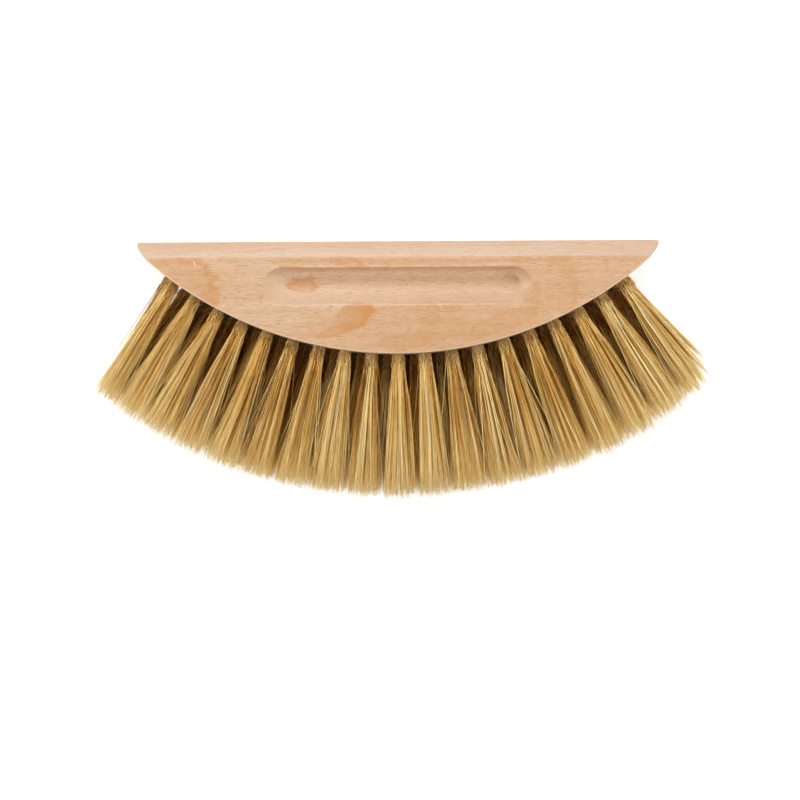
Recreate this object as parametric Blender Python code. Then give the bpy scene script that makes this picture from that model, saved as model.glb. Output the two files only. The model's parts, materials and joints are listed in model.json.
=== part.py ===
"""Hand brush: a half-round beech block with three fanned rows of bristle tufts.

The brush lies on its back face. +X runs along the block, +Y from the bristle tips to the straight
edge, and +Z out of the front face. The origin is under the middle of the brush. Sizes are in metres.

Each tuft is a bundle of bristles, folded in two over a flat wire anchor at the bottom of its hole.
"""
from math import acos, asin, atan2, cos, pi, radians, sin, sqrt, tan

import bmesh
import bpy
from mathutils import Matrix, Vector

# Block: its outline seen from the front
block_length = 0.280
block_height = 0.0606
block_thickness = 0.036
block_end_height = 0.0049
end_radius = 0.020
top_corner_radius = 0.0015
arc_facet_angle = radians(2.5)
end_facet_angle = radians(10)
corner_facet_angle = radians(30)

# Block: the chamfers along the straight edge, and the softened edges round both faces
chamfer_height = 0.0092
chamfer_depth = 0.0065
edge_rounding = 0.0008
edge_rounding_segments = 2
sharp_edge_angle = radians(45)

# Finger groove, one in each face: a trough with a blunt end and a long, shallow end
groove_length = 0.143
groove_width = 0.0197
groove_depth = 0.007
groove_drop = 0.0245
groove_end_length = 0.0105
groove_upper_wall = 0.0038
groove_lower_wall = 0.0110
groove_blunt_wall = 0.0068
groove_long_wall = 0.0150
groove_end_segments = 8
groove_wall_steps = 4

# Tuft holes: three rows that follow the arc, each with its shift along the arc as a share of the pitch
row_shift_shares = {"front": 0.0, "middle": -1 / 3, "back": 1 / 3}
row_ranks = {"front": 1, "middle": 0, "back": -1}
tufts_per_row = 19
end_margin = 0.020
row_spacing = 0.010
row_lean = radians(2.0)
hole_radius = 0.00335
hole_depth = 0.012
bundle_sides = 8

# Wire anchor: a flat strip across the fold of each tuft
anchor_length = 0.0084
anchor_height = 0.0024
anchor_thickness = 0.0005
anchor_rise = 0.0012

# Bristles: how far they stand out, and how wide each tuft and each strand is at the tips
bristle_length = 0.0739
tuft_collar = 0.0010
tip_width_share = 0.52
tip_depth_share = 0.84
strand_tip_share = 0.62
strand_length_shares = (1.0, 0.985, 0.995, 0.975, 1.0, 0.98, 0.99, 0.97)

# Fits
clearance = 0.0003
overrun = 0.002

# Places that follow from the sizes above
half_length = block_length / 2
arc_rise = block_height - block_end_height
arc_radius = (half_length**2 + arc_rise**2) / (2 * arc_rise)
edge_y = (block_height + bristle_length) / 2
arc_centre = Vector((0, edge_y - block_height + arc_radius))
row_half_angle = asin((half_length - end_margin) / arc_radius)
pitch_angle = 2 * row_half_angle / (tufts_per_row - 1)
groove_y = edge_y - groove_drop

# Colours (linear) and roughness
beech_colour = (0.70, 0.46, 0.28, 1)
beech_roughness = 0.55
bristle_colour = (0.58, 0.38, 0.15, 1)
bristle_roughness = 0.60
smooth_angle = radians(30)


def clear_scene():
    for thing in list(bpy.data.objects):
        bpy.data.objects.remove(thing, do_unlink=True)


def make_material(name, colour, roughness):
    material = bpy.data.materials.new(name)
    material.use_nodes = True
    shader = material.node_tree.nodes["Principled BSDF"]
    shader.inputs["Base Color"].default_value = colour
    shader.inputs["Roughness"].default_value = roughness
    shader.inputs["Metallic"].default_value = 0
    return material


def make_mesh(name, bm, material):
    bmesh.ops.recalc_face_normals(bm, faces=bm.faces)
    mesh = bpy.data.meshes.new(name)
    bm.to_mesh(mesh)
    bm.free()
    mesh.materials.append(material)
    mesh.shade_smooth()
    mesh.set_sharp_from_angle(angle=smooth_angle)
    return mesh


def make_object(name, mesh):
    thing = bpy.data.objects.new(name, mesh)
    bpy.context.collection.objects.link(thing)
    return thing


# The block's outline

def arc_points(centre, radius, start, end, facet_angle):
    """Points on a round stretch, from one angle to the other, both ends included."""
    steps = max(1, round(abs(end - start) / facet_angle))
    angles = [start + (end - start) * step / steps for step in range(steps + 1)]
    return [centre + radius * Vector((cos(angle), sin(angle))) for angle in angles]


def end_fillet_centre(corner):
    """Centre of the end's round: it touches the long arc and the small corner from inside."""
    to_arc = arc_radius - end_radius
    to_corner = end_radius - top_corner_radius
    line = corner - arc_centre
    spread = acos((line.length_squared + to_arc**2 - to_corner**2) / (2 * line.length * to_arc))
    direction = atan2(line.y, line.x) - spread
    return arc_centre + to_arc * Vector((cos(direction), sin(direction)))


def block_outline():
    """The block seen from the front: straight edge, rounded ends and the long arc below."""
    corner = Vector((half_length - top_corner_radius, edge_y - top_corner_radius))
    fillet = end_fillet_centre(corner)
    corner_end = atan2(corner.y - fillet.y, corner.x - fillet.x)
    fillet_end = atan2(fillet.y - arc_centre.y, fillet.x)
    right = arc_points(corner, top_corner_radius, pi / 2, corner_end, corner_facet_angle)
    right += arc_points(fillet, end_radius, corner_end, fillet_end, end_facet_angle)[1:]
    arc = arc_points(arc_centre, arc_radius, fillet_end, -pi - fillet_end, arc_facet_angle)
    left = [Vector((-point.x, point.y)) for point in reversed(right)]
    return right + arc[1:-1] + left


def cut_chamfer(bm, face_z, side):
    """Slices off the straight edge of one face; side is 1 for the front face and -1 for the back."""
    point = (0, edge_y - chamfer_height, face_z)
    normal = (0, chamfer_depth, side * chamfer_height)
    everything = bm.verts[:] + bm.edges[:] + bm.faces[:]
    cut = bmesh.ops.bisect_plane(bm, geom=everything, plane_co=point, plane_no=normal, clear_outer=True)
    rim = [part for part in cut["geom_cut"] if isinstance(part, bmesh.types.BMEdge)]
    bmesh.ops.holes_fill(bm, edges=rim, sides=0)


def block_body():
    bm = bmesh.new()
    back = bm.faces.new([bm.verts.new((point.x, point.y, 0)) for point in block_outline()])
    raised = bmesh.ops.extrude_face_region(bm, geom=[back])["geom"]
    raised_verts = [part for part in raised if isinstance(part, bmesh.types.BMVert)]
    bmesh.ops.translate(bm, verts=raised_verts, vec=(0, 0, block_thickness))
    cut_chamfer(bm, block_thickness, 1)
    cut_chamfer(bm, 0, -1)
    bmesh.ops.recalc_face_normals(bm, faces=bm.faces)
    sharp = [edge for edge in bm.edges if edge.calc_face_angle() > sharp_edge_angle]
    bmesh.ops.bevel(bm, geom=sharp, offset=edge_rounding, segments=edge_rounding_segments,
                    profile=0.5, affect="EDGES", material=-1, clamp_overlap=False)
    return bm


# The finger grooves

def groove_ring(bm, inset_share, z):
    """One outline of the trough, drawn in from its rim by a share of each wall's run."""
    top = groove_width / 2 - groove_upper_wall * inset_share
    bottom = -groove_width / 2 + groove_lower_wall * inset_share
    middle_y = groove_y + (top + bottom) / 2
    half_width = (top - bottom) / 2
    end_length = groove_end_length * half_width / (groove_width / 2)
    right_x = groove_length / 2 - groove_blunt_wall * inset_share - end_length
    left_x = -groove_length / 2 + groove_long_wall * inset_share + end_length
    points = []
    for end_x, start in ((right_x, -pi / 2), (left_x, pi / 2)):
        for step in range(groove_end_segments + 1):
            angle = start + pi * step / groove_end_segments
            points.append((end_x + end_length * cos(angle), middle_y + half_width * sin(angle), z))
    verts = [bm.verts.new(point) for point in points]
    return [bm.edges.new((verts[index - 1], verts[index])) for index in range(len(verts))]


def groove_cutter():
    """A trough-shaped solid: its wall falls away in a quarter round, from the rim to a flat floor."""
    bm = bmesh.new()
    rings = [groove_ring(bm, 0, block_thickness + overrun)]
    for step in range(groove_wall_steps + 1):
        angle = pi / 2 * step / groove_wall_steps
        rings.append(groove_ring(bm, 1 - cos(angle), block_thickness - groove_depth * sin(angle)))
    for upper, lower in zip(rings, rings[1:]):
        bmesh.ops.bridge_loops(bm, edges=upper + lower)
    for ring in (rings[0], rings[-1]):
        bmesh.ops.contextual_create(bm, geom=ring)
    return bm


# The tufts and their holes

def plug_body(growth, top):
    """The folded end of a tuft with the wire across it, or with growth the hole that it fits."""
    radius = hole_radius - clearance + growth
    bottom = clearance - hole_depth - growth
    wire_low = bottom + anchor_rise
    wire_high = wire_low + anchor_height + 2 * growth
    wire_side = anchor_thickness / 2 + growth
    wire_end = anchor_length / 2 + growth

    bm = bmesh.new()
    turn = Matrix.Translation((0, 0, (top + bottom) / 2)) @ Matrix.Rotation(pi / bundle_sides, 4, "Z")
    bmesh.ops.create_cone(bm, cap_ends=True, segments=bundle_sides, radius1=radius, radius2=radius,
                          depth=top - bottom, matrix=turn)
    for level in (wire_low, wire_high):
        everything = bm.verts[:] + bm.edges[:] + bm.faces[:]
        bmesh.ops.bisect_plane(bm, geom=everything, plane_co=(0, 0, level), plane_no=(0, 0, 1))

    flat = radius * cos(pi / bundle_sides)
    for side in (-1, 1):
        seat = Vector((0, side * flat, (wire_low + wire_high) / 2))
        for edge_x in (-wire_side, wire_side):
            panel = nearest_face(bm, seat)
            region = [panel] + panel.edges[:] + panel.verts[:]
            bmesh.ops.bisect_plane(bm, geom=region, plane_co=(edge_x, 0, 0), plane_no=(1, 0, 0))
        wire = bmesh.ops.extrude_discrete_faces(bm, faces=[nearest_face(bm, seat)])["faces"][0]
        bmesh.ops.translate(bm, verts=wire.verts[:], vec=(0, side * (wire_end - flat), 0))
    return bm


def nearest_face(bm, place):
    return min(bm.faces, key=lambda face: (face.calc_center_median() - place).length)


def tip_place(root, centre, lean, length_share):
    """Where a corner of a strand ends: flared out from the tuft's axis and trimmed to a round."""
    tip_pitch = pitch_angle * (arc_radius + bristle_length)
    tip_spacing = row_spacing + bristle_length * tan(row_lean)
    plug_radius = hole_radius - clearance
    flare_x = tip_width_share * tip_pitch / 2 / plug_radius
    flare_y = tip_depth_share * tip_spacing / 2 / plug_radius
    x = flare_x * (centre.x + (root.x - centre.x) * strand_tip_share)
    y = flare_y * (centre.y + (root.y - centre.y) * strand_tip_share)
    trim_radius = arc_radius + bristle_length * length_share
    z = (sqrt(trim_radius**2 - x**2) - arc_radius + y * sin(lean)) / cos(lean)
    return Vector((x, y, z))


def tuft_body(lean):
    """A tuft at the origin: +X along its row, +Z out of its hole, which starts at height zero."""
    bm = plug_body(0, tuft_collar)
    mouth = nearest_face(bm, Vector((0, 0, tuft_collar)))
    fan = bmesh.ops.poke(bm, faces=[mouth])["faces"]
    strands = bmesh.ops.extrude_discrete_faces(bm, faces=fan)["faces"]
    for strand, length_share in zip(strands, strand_length_shares):
        centre = strand.calc_center_median()
        for vert in strand.verts:
            vert.co = tip_place(vert.co, centre, lean, length_share)
    return bm


def tuft_places():
    """Name, row and placing of every tuft: its origin is on the arc, where its hole starts."""
    for row, shift_share in row_shift_shares.items():
        lean = row_lean * row_ranks[row]
        height = block_thickness / 2 + row_spacing * row_ranks[row]
        for index in range(tufts_per_row):
            angle = -row_half_angle + pitch_angle * (index + shift_share)
            middle = Matrix.Translation((arc_centre.x, arc_centre.y, height))
            outward = Matrix.Rotation(angle, 4, "Z") @ Matrix.Rotation(pi / 2, 4, "X")
            reach = Matrix.Translation((0, 0, arc_radius))
            place = middle @ outward @ reach @ Matrix.Rotation(-lean, 4, "X")
            yield f"tuft_{row}_{index + 1:02d}", row, place


def hole_cutters():
    hole = plug_body(clearance, overrun)
    hole_mesh = bpy.data.meshes.new("hole")
    hole.to_mesh(hole_mesh)
    hole.free()
    bm = bmesh.new()
    for _, _, place in tuft_places():
        known = len(bm.verts)
        bm.from_mesh(hole_mesh)
        bmesh.ops.transform(bm, matrix=place, verts=bm.verts[known:])
    return bm


def cut_block(block, cutters):
    """Cuts each cutter out of the block, and marks the cut edges as sharp."""
    for cutter in cutters:
        cutter.hide_render = True
        cutter.display_type = "WIRE"
        cut = block.modifiers.new(cutter.name, "BOOLEAN")
        cut.operation = "DIFFERENCE"
        cut.solver = "EXACT"
        cut.object = cutter
    bpy.context.view_layer.update()
    finished = block.evaluated_get(bpy.context.evaluated_depsgraph_get())
    block_mesh = bpy.data.meshes.new_from_object(finished)
    block.modifiers.clear()
    block.data = block_mesh
    block_mesh.shade_smooth()
    block_mesh.set_sharp_from_angle(angle=smooth_angle)
    for cutter in cutters:
        bpy.data.objects.remove(cutter)


def make_block(beech):
    block = make_object("block", make_mesh("block", block_body(), beech))
    front_groove = make_object("front_groove_cutter", make_mesh("groove_cutter", groove_cutter(), beech))
    back_groove = make_object("back_groove_cutter", front_groove.data)
    back_groove.rotation_euler = (0, pi, 0)
    back_groove.location = (0, 0, block_thickness)
    holes = make_object("hole_cutters", make_mesh("hole_cutters", hole_cutters(), beech))
    cut_block(block, (front_groove, back_groove, holes))


def make_tufts(bristle):
    meshes = {}
    for row, rank in row_ranks.items():
        meshes[row] = make_mesh(f"{row}_row_tuft", tuft_body(row_lean * rank), bristle)
    for name, row, place in tuft_places():
        make_object(name, meshes[row]).matrix_world = place


clear_scene()
make_block(make_material("beech", beech_colour, beech_roughness))
make_tufts(make_material("bristle", bristle_colour, bristle_roughness))
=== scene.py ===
# %% [markdown]
# # A half-round hand brush
#
# The brush lies on its back face. It has a beech block with a long straight edge, a chamfer and a finger
# groove, and three fanned rows of natural bristle tufts along its round side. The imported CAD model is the
# fixed frame. This lesson dresses it: one finer block, and one bundle of real hairs for each of the tufts.
#
# Sizes are in metres. +X runs along the block, +Y from the bristle tips to the straight edge, +Z upwards.

import json
from math import acos, asin, atan2, cos, pi, radians, sin, sqrt, tan

import bmesh
import bpy
import numpy as np
from mathutils import Matrix, Vector

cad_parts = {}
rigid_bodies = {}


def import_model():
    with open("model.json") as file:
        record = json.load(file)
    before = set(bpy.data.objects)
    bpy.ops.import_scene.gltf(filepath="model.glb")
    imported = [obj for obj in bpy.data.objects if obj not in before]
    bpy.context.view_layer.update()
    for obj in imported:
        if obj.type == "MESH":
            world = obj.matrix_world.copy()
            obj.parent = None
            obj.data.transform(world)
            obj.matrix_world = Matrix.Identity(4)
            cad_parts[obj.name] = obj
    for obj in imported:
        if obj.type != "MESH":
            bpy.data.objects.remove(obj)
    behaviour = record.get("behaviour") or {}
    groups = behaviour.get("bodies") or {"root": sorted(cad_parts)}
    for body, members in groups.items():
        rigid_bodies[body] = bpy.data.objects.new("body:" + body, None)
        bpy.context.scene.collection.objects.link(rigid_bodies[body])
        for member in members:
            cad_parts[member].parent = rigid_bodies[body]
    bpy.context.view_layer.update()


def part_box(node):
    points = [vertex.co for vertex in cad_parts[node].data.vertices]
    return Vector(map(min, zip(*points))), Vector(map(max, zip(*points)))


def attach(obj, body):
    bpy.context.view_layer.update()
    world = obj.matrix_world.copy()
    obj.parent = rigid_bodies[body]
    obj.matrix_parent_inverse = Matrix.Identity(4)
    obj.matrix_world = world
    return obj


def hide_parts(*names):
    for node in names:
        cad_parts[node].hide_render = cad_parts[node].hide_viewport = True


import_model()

# %% [markdown]
# ## Measures
#
# A new piece has to sit exactly where its CAD node sits, so the sizes that set the block and the rows of
# holes are repeated here under the same names. The block's height and thickness are read from the frame.

# %% Sizes of the block and of its holes
block_low, block_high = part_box("block")
half_length = (block_high.x - block_low.x) / 2
edge_y = block_high.y
block_height = block_high.y - block_low.y
block_thickness = block_high.z - block_low.z

block_end_height = 0.0049
end_radius = 0.020
top_corner_radius = 0.0015
chamfer_height = 0.0092
chamfer_depth = 0.0065

groove_length = 0.143
groove_width = 0.0197
groove_depth = 0.007
groove_y = edge_y - 0.0245
groove_end_length = 0.0105
groove_upper_wall = 0.0038
groove_lower_wall = 0.0110
groove_blunt_wall = 0.0068
groove_long_wall = 0.0150

row_shift_shares = {"front": 0.0, "middle": -1 / 3, "back": 1 / 3}
row_ranks = {"front": 1, "middle": 0, "back": -1}
tufts_per_row = 19
end_margin = 0.020
row_spacing = 0.010
row_lean = radians(2.0)
hole_radius = 0.00335
hole_depth = 0.012
bristle_length = 0.0739

arc_rise = block_height - block_end_height
arc_radius = (half_length**2 + arc_rise**2) / (2 * arc_rise)
arc_centre = Vector((0, edge_y - block_height + arc_radius, 0))
row_half_angle = asin((half_length - end_margin) / arc_radius)
pitch_angle = 2 * row_half_angle / (tufts_per_row - 1)
print(f"block {2 * half_length:.4f} x {block_height:.4f} x {block_thickness:.4f}, radius {arc_radius:.4f}")

# %% [markdown]
# ## Helpers
#
# Every material below is a tree of nodes, and every piece ends as an object at the origin with its place in
# its mesh. A few small helpers keep those steps short. Wherever one takes a number or a colour, the output
# of another node will do as well.

# %% Helpers for nodes
def add_node(tree, kind, settings=None, **sockets):
    """Adds a node. settings are its options, and sockets its inputs, with _ for each space."""
    made = tree.nodes.new("ShaderNode" + kind)
    for name, value in (settings or {}).items():
        setattr(made, name, value)
    for name, value in sockets.items():
        plug_in(tree, made.inputs[name.replace("_", " ")], value)
    return made


def plug_in(tree, socket, value):
    if isinstance(value, bpy.types.NodeSocket):
        tree.links.new(value, socket)
    else:
        socket.default_value = value


def maths(tree, operation, first, second=0.0):
    made = add_node(tree, "Math", {"operation": operation})
    plug_in(tree, made.inputs[0], first)
    plug_in(tree, made.inputs[1], second)
    return made.outputs[0]


def product(tree, mask, *factors):
    """Several masks at once: it shows only where all of them do."""
    for factor in factors:
        mask = maths(tree, "MULTIPLY", mask, factor)
    return mask


def push(tree, noise_value, most):
    """Turns noise, which lies about 0.5, into a push either way."""
    return product(tree, maths(tree, "SUBTRACT", noise_value, 0.5), most)


def fade(tree, value, start, end, at_start=0.0, at_end=1.0):
    """Goes from one level to the other while the value goes from start to end, and stays level beyond."""
    return add_node(tree, "MapRange", Value=value, From_Min=start, From_Max=end, To_Min=at_start,
                    To_Max=at_end).outputs[0]


def length_of(tree, vector):
    return add_node(tree, "VectorMath", {"operation": "LENGTH"}, Vector=vector).outputs["Value"]


def axes(tree, vector):
    return add_node(tree, "SeparateXYZ", Vector=vector).outputs


def distance(tree, value, other=0.0):
    return maths(tree, "ABSOLUTE", maths(tree, "SUBTRACT", value, other))


def blend_in(tree, colour, other, *shares):
    """Blends another colour in, by the product of the shares."""
    made = add_node(tree, "Mix", {"data_type": "RGBA"})
    plug_in(tree, made.inputs[0], product(tree, *shares))
    plug_in(tree, made.inputs[6], colour)
    plug_in(tree, made.inputs[7], other)
    return made.outputs[2]


def ramp(tree, value, stops):
    """A colour ramp. stops are (place, grey or colour)."""
    made = add_node(tree, "ValToRGB", Fac=value)
    while len(made.color_ramp.elements) < len(stops):
        made.color_ramp.elements.new(1)
    for element, (place, colour) in zip(made.color_ramp.elements, stops):
        element.position = place
        element.color = colour if isinstance(colour, tuple) else (colour, colour, colour, 1)
    return made.outputs[0]


def noise(tree, coordinates, stretch, detail=2.0, roughness=0.5):
    """Noise with its own scale along each axis, in cells per metre."""
    placed = add_node(tree, "Mapping", Vector=coordinates, Scale=stretch).outputs[0]
    return add_node(tree, "TexNoise", Vector=placed, Scale=1.0, Detail=detail, Roughness=roughness).outputs[0]


# %% Helpers for materials and objects
def new_material(name, roughness, specular):
    material = bpy.data.materials.new(name)
    material.use_nodes = True
    shader = material.node_tree.nodes["Principled BSDF"]
    shader.inputs["Roughness"].default_value = roughness
    shader.inputs["Specular IOR Level"].default_value = specular
    return material, material.node_tree, shader


def dress(tree, shader, colour, mask, roughness, **bump):
    """Plugs in a colour, a roughness that goes from low to high with the mask, and a bump if one is given."""
    plug_in(tree, shader.inputs["Base Color"], colour)
    plug_in(tree, shader.inputs["Roughness"], fade(tree, mask, 0.0, 1.0, *roughness))
    if bump:
        plug_in(tree, shader.inputs["Normal"], add_node(tree, "Bump", **bump).outputs[0])


def new_object(name, mesh):
    thing = bpy.data.objects.new(name, mesh)
    bpy.context.scene.collection.objects.link(thing)
    return thing


def mesh_from(bm, name):
    mesh = bpy.data.meshes.new(name)
    bm.to_mesh(mesh)
    bm.free()
    return mesh


# %% [markdown]
# ## The outline of the block
#
# A maker saws the block to a template: one straight side, two small rounded ends and a long arc. The outline
# could be typed in as a list of points, but each part of it is a circle, so spinning a single vertex about
# each centre draws it exactly. A slice at any depth of the block is the same outline again: through the
# chamfer its straight side lies lower, and near a face it is drawn in, because the rims are rounded. So one
# function draws every slice. Half of it is enough, since a mirror makes the other half.

# %% Outline at any depth
arc_steps = 80
end_steps = 10
corner_steps = 4
least_corner_radius = 0.0006
least_end_turn = radians(3)
least_arc_turn = radians(0.3)


def end_round_centre():
    """The centre of the round that touches the long arc and the small corner from inside."""
    corner = Vector((half_length - top_corner_radius, edge_y - top_corner_radius, 0))
    to_arc = arc_radius - end_radius
    to_corner = end_radius - top_corner_radius
    line = corner - arc_centre
    spread = acos((line.length_squared + to_arc**2 - to_corner**2) / (2 * line.length * to_arc))
    direction = atan2(line.y, line.x) - spread
    return arc_centre + to_arc * Vector((cos(direction), sin(direction), 0))


end_round = end_round_centre()


def heading(centre, point):
    return atan2(point.y - centre.y, point.x - centre.x)


def swing(bm, vert, centre, angle, steps):
    """Spins a vertex about a centre, which draws an arc of edges, and returns the arc's last vertex."""
    spun = bmesh.ops.spin(bm, geom=[vert], cent=centre, axis=(0, 0, 1), angle=angle, steps=steps)
    return [part for part in spun["geom_last"] if isinstance(part, bmesh.types.BMVert)][0]


def corner_inside(hub, reach, corner_y):
    """The centre of the small corner, at this height and at this reach from the hub of a larger round."""
    return Vector((hub.x + sqrt(reach**2 - (corner_y - hub.y)**2), corner_y, 0))


def half_slice(bm, straight_y, inset, z):
    """Draws the right half of a slice at height z, and returns its edges."""
    known = set(bm.edges)
    corner_radius = max(top_corner_radius - inset, least_corner_radius)
    corner_y = straight_y - corner_radius
    to_arc = heading(arc_centre, end_round)
    hub, corner = end_round, corner_inside(end_round, end_radius - inset - corner_radius, corner_y)
    if heading(hub, corner) < to_arc + least_end_turn:  # the straight side has sunk past the end's round
        hub, corner = arc_centre, corner_inside(arc_centre, arc_radius - inset - corner_radius, corner_y)
        to_arc = heading(hub, corner) - least_arc_turn
    middle = bm.verts.new((0, straight_y, z))
    start = bm.verts.new((corner.x, straight_y, z))
    bm.edges.new((middle, start))
    after_corner = swing(bm, start, corner, heading(hub, corner) - pi / 2, corner_steps)
    after_end = swing(bm, after_corner, hub, to_arc - heading(hub, corner), end_steps)
    swing(bm, after_end, arc_centre, -pi / 2 - to_arc, arc_steps)
    return [edge for edge in bm.edges if edge not in known]


print("end round at", [round(value, 4) for value in end_round])

# %% [markdown]
# ## The body of the block
#
# On the real block a planer cuts the chamfer along both faces of the straight edge, and sandpaper softens
# every edge, most of all the chamfer's lower one. Cutting and bevelling a solid would do it, but the bevel's
# narrow faces fold over each other where the chamfer meets the round end. Bridging slices has no such
# corner: the profile below says where the straight side lies at each depth, the slices follow it, and
# bridge_loops joins each one to the next.

# %% Profile across the straight edge
edge_round = 0.0009
ridge_round = 0.0013
ridge_steps = 4
break_run = 0.0022
break_steps = 6
chamfer_slope = atan2(chamfer_depth, chamfer_height)
chamfer_break = edge_y - chamfer_height


def arc_profile(hub_y, hub_depth, radius, start, end, steps):
    """Points of a round seen from the block's end, as y and depth below the face, from start to end angle."""
    angles = [start + (end - start) * step / steps for step in range(steps + 1)]
    return [(hub_y + radius * sin(angle), hub_depth - radius * cos(angle)) for angle in angles]


def rim_inset(depth):
    """How far the outline is drawn in at this depth, by the round of the rim."""
    return edge_round - sqrt(edge_round**2 - max(edge_round - depth, 0)**2)


ridge_depth = chamfer_depth + ridge_round * (1 - sin(chamfer_slope)) / cos(chamfer_slope)
ridge = arc_profile(edge_y - ridge_round, ridge_depth, ridge_round, pi / 2, chamfer_slope, ridge_steps)
break_round = break_run / tan(chamfer_slope / 2)
soft_break = arc_profile(chamfer_break - break_run, break_round, break_round, chamfer_slope, 0, break_steps)
profile = ridge + soft_break
print(len(profile), "slices for each face, the deepest at", round(profile[0][1], 5))

# %% Slices, bridged and mirrored
weld_distance = 1e-6
bm = bmesh.new()
slices = [half_slice(bm, y, rim_inset(depth), depth) for y, depth in reversed(profile)]
slices += [half_slice(bm, y, rim_inset(depth), block_thickness - depth) for y, depth in profile]
for lower, upper in zip(slices, slices[1:]):
    bmesh.ops.bridge_loops(bm, edges=lower + upper)
bmesh.ops.mirror(bm, geom=bm.verts[:] + bm.edges[:] + bm.faces[:], axis="X", merge_dist=weld_distance)
bmesh.ops.remove_doubles(bm, verts=bm.verts, dist=weld_distance)
bmesh.ops.holes_fill(bm, edges=[edge for edge in bm.edges if edge.is_boundary], sides=0)
bmesh.ops.recalc_face_normals(bm, faces=bm.faces)
print(f"body: {len(bm.faces)} faces, {bm.calc_volume() * 1e6:.1f} cm3")
block_mesh = mesh_from(bm, "beech_block")

# %% [markdown]
# ## The finger grooves
#
# A router ploughs a groove for the fingertips in each face: a steep upper wall, a long hollow lower wall, one
# blunt end and one end that fades out. The cutter below has the shape of the wood that is taken away. It is
# a stack of oval rings, bridged one to the next. Every side of a ring is drawn in by its own share of its
# wall's run. The upper wall sinks as a quarter round does, the lower and blunt walls start at a slant, and
# the fading end is a long ramp that leaves the face almost without a line. Lower rings are narrower, but
# their rounded ends keep more of their length than of their width, so the blunt corner stays gentle.

# %% How far each wall is drawn in at a depth
groove_end_steps = 20
groove_wall_steps = 12
rim_roll = 0.00035
rim_roll_steps = 3
overrun = 0.002
lower_wall_power = 0.62
blunt_wall_power = 0.90
end_taper_power = 0.35
ramp_power = 0.76
ramp_lead_share = 5.0


def rim_outset(depth):
    """Sandpaper rolls the rim over a little. Above the face the cutter goes straight up."""
    return rim_roll - sqrt(rim_roll**2 - min(max(rim_roll - depth, 0), rim_roll)**2)


def quarter_round(share):
    return 1 - sqrt(1 - share**2)


def slanted_hollow(share, power):
    return 1 - (1 - share)**power


def groove_sides(depth):
    """Where the top, bottom, left and right of the groove lie at this depth, from its middle."""
    sunk = min(max(depth - rim_roll, 0) / (groove_depth - rim_roll), 1)
    roll = rim_outset(depth)
    top = groove_width / 2 - groove_upper_wall * quarter_round(sunk) + roll
    bottom = -groove_width / 2 + groove_lower_wall * slanted_hollow(sunk, lower_wall_power) - roll
    left = -groove_length / 2 + groove_long_wall * slanted_hollow(sunk, ramp_power) - ramp_lead_share * roll
    right = groove_length / 2 - groove_blunt_wall * slanted_hollow(sunk, blunt_wall_power) + roll
    return top, bottom, left, right


print("groove sides at the face", [round(side, 4) for side in groove_sides(0)])


# %% Groove cutters
def groove_ring(bm, depth, z):
    """One ring of the cutter, as a circle squeezed to the groove's width and cut for its straight sides."""
    top, bottom, left, right = groove_sides(depth)
    half_width = (top - bottom) / 2
    end_length = groove_end_length * (half_width / (groove_width / 2))**end_taper_power
    ring = bmesh.ops.create_circle(bm, segments=4 * groove_end_steps, radius=1)["verts"]
    for vert in ring:
        middle_x = right - end_length if vert.co.x > 0 else left + end_length
        y = groove_y + (top + bottom) / 2 + half_width * vert.co.y
        vert.co = (middle_x + end_length * vert.co.x, y, z)
    return sorted({edge for vert in ring for edge in vert.link_edges}, key=lambda edge: edge.index)


def groove_cutter():
    bm = bmesh.new()
    depths = [rim_roll * (1 - cos(pi / 2 * step / rim_roll_steps)) for step in range(rim_roll_steps)]
    depths += [rim_roll + (groove_depth - rim_roll) * sin(pi / 2 * step / groove_wall_steps)
               for step in range(groove_wall_steps + 1)]
    rings = [groove_ring(bm, 0, block_thickness + overrun)]
    rings += [groove_ring(bm, depth, block_thickness - depth) for depth in depths]
    for upper, lower in zip(rings, rings[1:]):
        bmesh.ops.bridge_loops(bm, edges=upper + lower)
    for ring in (rings[0], rings[-1]):
        bmesh.ops.contextual_create(bm, geom=ring)
    bmesh.ops.recalc_face_normals(bm, faces=bm.faces)
    return bm


front_cutter = groove_cutter()
back_cutter = front_cutter.copy()
turn_over = Matrix.Translation((0, 0, block_thickness)) @ Matrix.Rotation(pi, 4, "Y")
bmesh.ops.transform(back_cutter, matrix=turn_over, verts=back_cutter.verts)
print("groove cutter:", len(front_cutter.verts), "points")
groove_cutters = [new_object("front_groove_cutter", mesh_from(front_cutter, "front_groove_cutter")),
                  new_object("back_groove_cutter", mesh_from(back_cutter, "back_groove_cutter"))]

# %% [markdown]
# ## Where the tufts go
#
# The holes stand square to the arc, like the spokes of a wheel, in three rows. The outer rows lean outwards a
# little, and each row is shifted along the arc by a third of the pitch, so that the tufts of one row fill the
# gaps of the next. One matrix for each tuft says all of that: in its own space a tuft stands on the origin,
# with +X along its row, +Y towards the front face and +Z out of its hole.

# %% Tuft places
def tuft_places():
    """The name, row, number and placing of every tuft."""
    for row, shift_share in row_shift_shares.items():
        lean = row_lean * row_ranks[row]
        height = block_thickness / 2 + row_spacing * row_ranks[row]
        for index in range(tufts_per_row):
            angle = -row_half_angle + pitch_angle * (index + shift_share)
            middle = Matrix.Translation((arc_centre.x, arc_centre.y, height))
            outward = Matrix.Rotation(angle, 4, "Z") @ Matrix.Rotation(pi / 2, 4, "X")
            reach = Matrix.Translation((0, 0, arc_radius))
            yield row, index + 1, middle @ outward @ reach @ Matrix.Rotation(-lean, 4, "X")


places = list(tuft_places())
print(len(places), "tufts, first hole at", [round(value, 4) for value in places[0][2].translation])

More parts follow.
